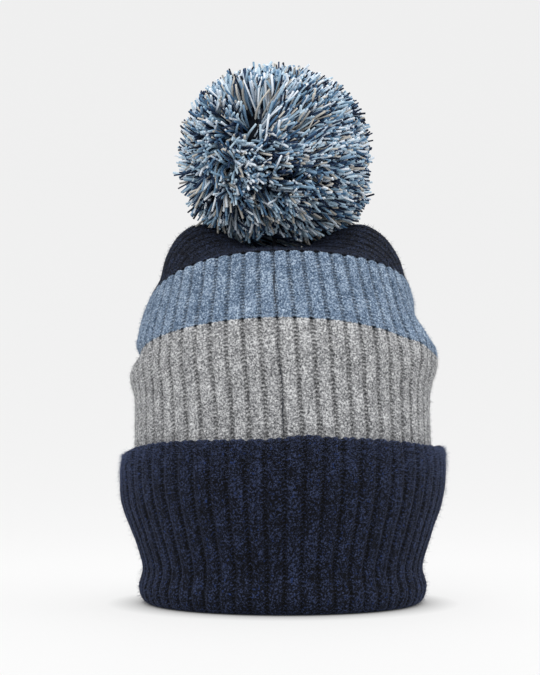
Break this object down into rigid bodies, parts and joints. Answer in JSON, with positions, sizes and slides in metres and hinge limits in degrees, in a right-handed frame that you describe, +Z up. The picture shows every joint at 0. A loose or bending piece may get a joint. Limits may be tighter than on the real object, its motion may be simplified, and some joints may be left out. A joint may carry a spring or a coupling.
{
  "type": "pom pom beanie",
  "caption": "Ribbed knit winter hat with a turned-up cuff, broad yarn stripes and a round yarn pom-pom that rolls in its seat on the crown.",
  "frame": {"origin": "centre of the ring that the cuff's fold stands on, under the middle of the round plan", "axes": "+Z up through the crown, -Y towards the back seam, +X to the right when looking at the back seam"},
  "size_m": [0.1726, 0.1726, 0.2914],
  "materials": {
    "navy_knit": "fuzzy ribbed wool knit, heathered",
    "grey_knit": "fuzzy ribbed wool knit, salt-and-pepper marl",
    "blue_knit": "fuzzy ribbed wool knit, denim-blue marl",
    "seam_yarn": "twisted yarn",
    "pom_yarn": "cut acrylic yarn strands, mixed blues, white, beige and navy",
    "label_satin": "blank woven satin"
  },
  "bodies": {
    "hat": {"ribbed_cuff": "navy_knit", "grey_band": "grey_knit", "blue_band": "blue_knit", "navy_crown": "navy_knit", "back_seam": "seam_yarn", "crown_gather_yarn": "seam_yarn", "label_stitches": "seam_yarn"},
    "tie": {"pom_tie": "seam_yarn", "anchor_knot": "seam_yarn"},
    "binding": {"waist_binding": "seam_yarn"},
    "pom": {"pom_strands": "pom_yarn"},
    "label": {"care_label": "label_satin"}
  },
  "joints": [
    {"name": "pom_twist", "type": "hinge", "parent": "hat", "child": "tie", "pos_m": [-0.004, -0.008, 0.2415], "axis": [0, 0, 1], "range_deg": [-40, 40], "stiffness_Nm_per_rad": 0.02},
    {"name": "pom_nod", "type": "hinge", "parent": "tie", "child": "binding", "pos_m": [-0.004, -0.008, 0.2415], "axis": [1, 0, 0], "range_deg": [-12, 12], "stiffness_Nm_per_rad": 0.05},
    {"name": "pom_sway", "type": "hinge", "parent": "binding", "child": "pom", "pos_m": [-0.004, -0.008, 0.2415], "axis": [0, 1, 0], "range_deg": [-12, 12], "stiffness_Nm_per_rad": 0.05},
    {"name": "label_flap", "type": "hinge", "parent": "hat", "child": "label", "pos_m": [0, -0.0627, 0.035], "axis": [0, -0.2398, 0.9708], "range_deg": [0, 140]}
  ]
}
